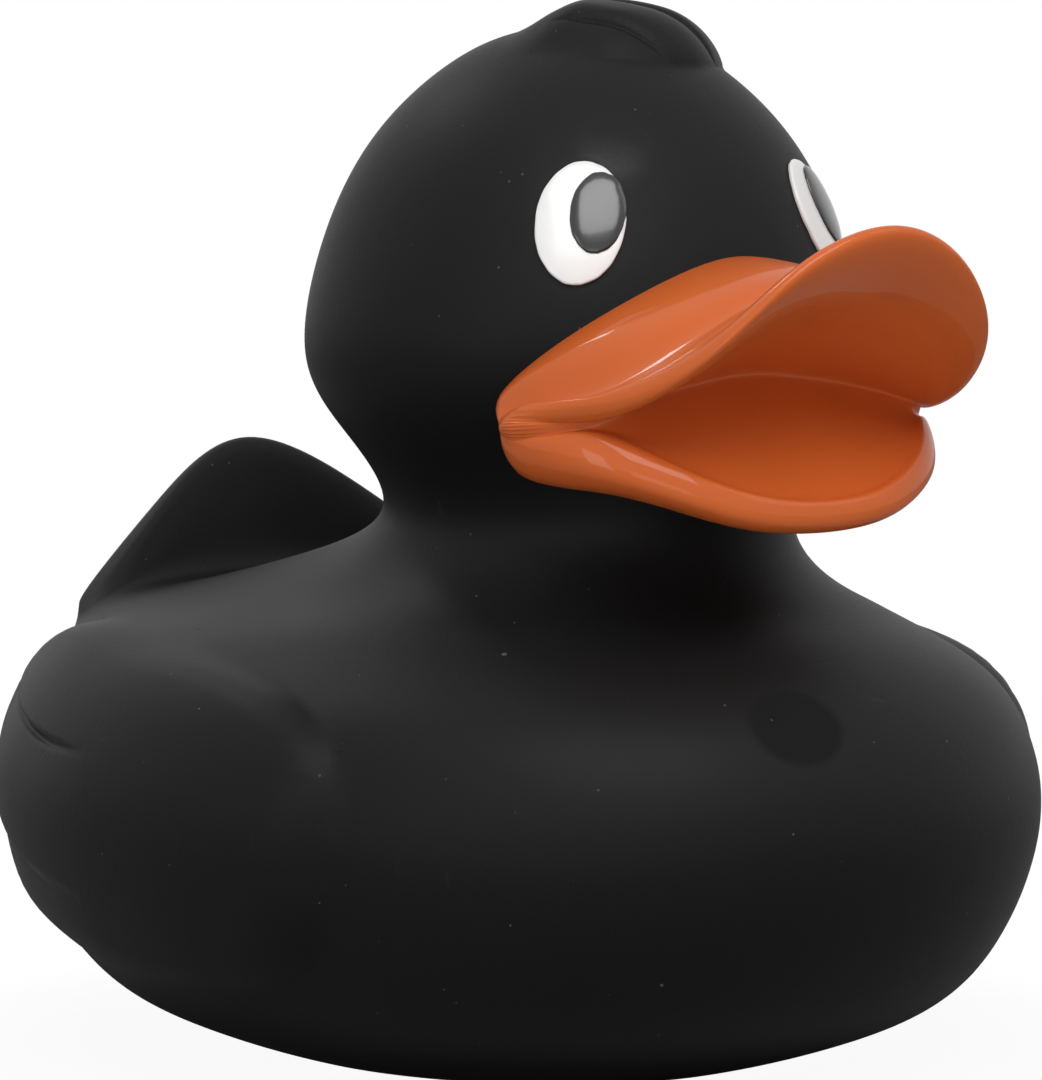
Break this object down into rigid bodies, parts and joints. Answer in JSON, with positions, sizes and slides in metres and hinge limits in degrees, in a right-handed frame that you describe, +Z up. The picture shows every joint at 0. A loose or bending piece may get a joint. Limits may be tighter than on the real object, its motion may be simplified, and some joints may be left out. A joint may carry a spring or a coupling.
{
  "type": "rubber duck",
  "caption": "Hollow moulded bath duck with a wide open bill, upturned tail and relief wings, sitting on a flat base with a press-in squeaker.",
  "frame": {"origin": "on the surface that the duck sits on, under the middle of its bounding box", "axes": "+Z up, -Y the way the duck faces, +X its left side"},
  "size_m": [0.1922, 0.2253, 0.2001],
  "materials": {
    "black_vinyl": "matte",
    "orange_paint": "gloss",
    "white_paint": "gloss",
    "black_paint": "gloss",
    "white_plastic": "satin",
    "clear_film": "satin"
  },
  "bodies": {
    "root": {"duck_shell": "black_vinyl", "squeaker_cup": "white_plastic", "squeaker_reed": "clear_film"}
  },
  "joints": []
}
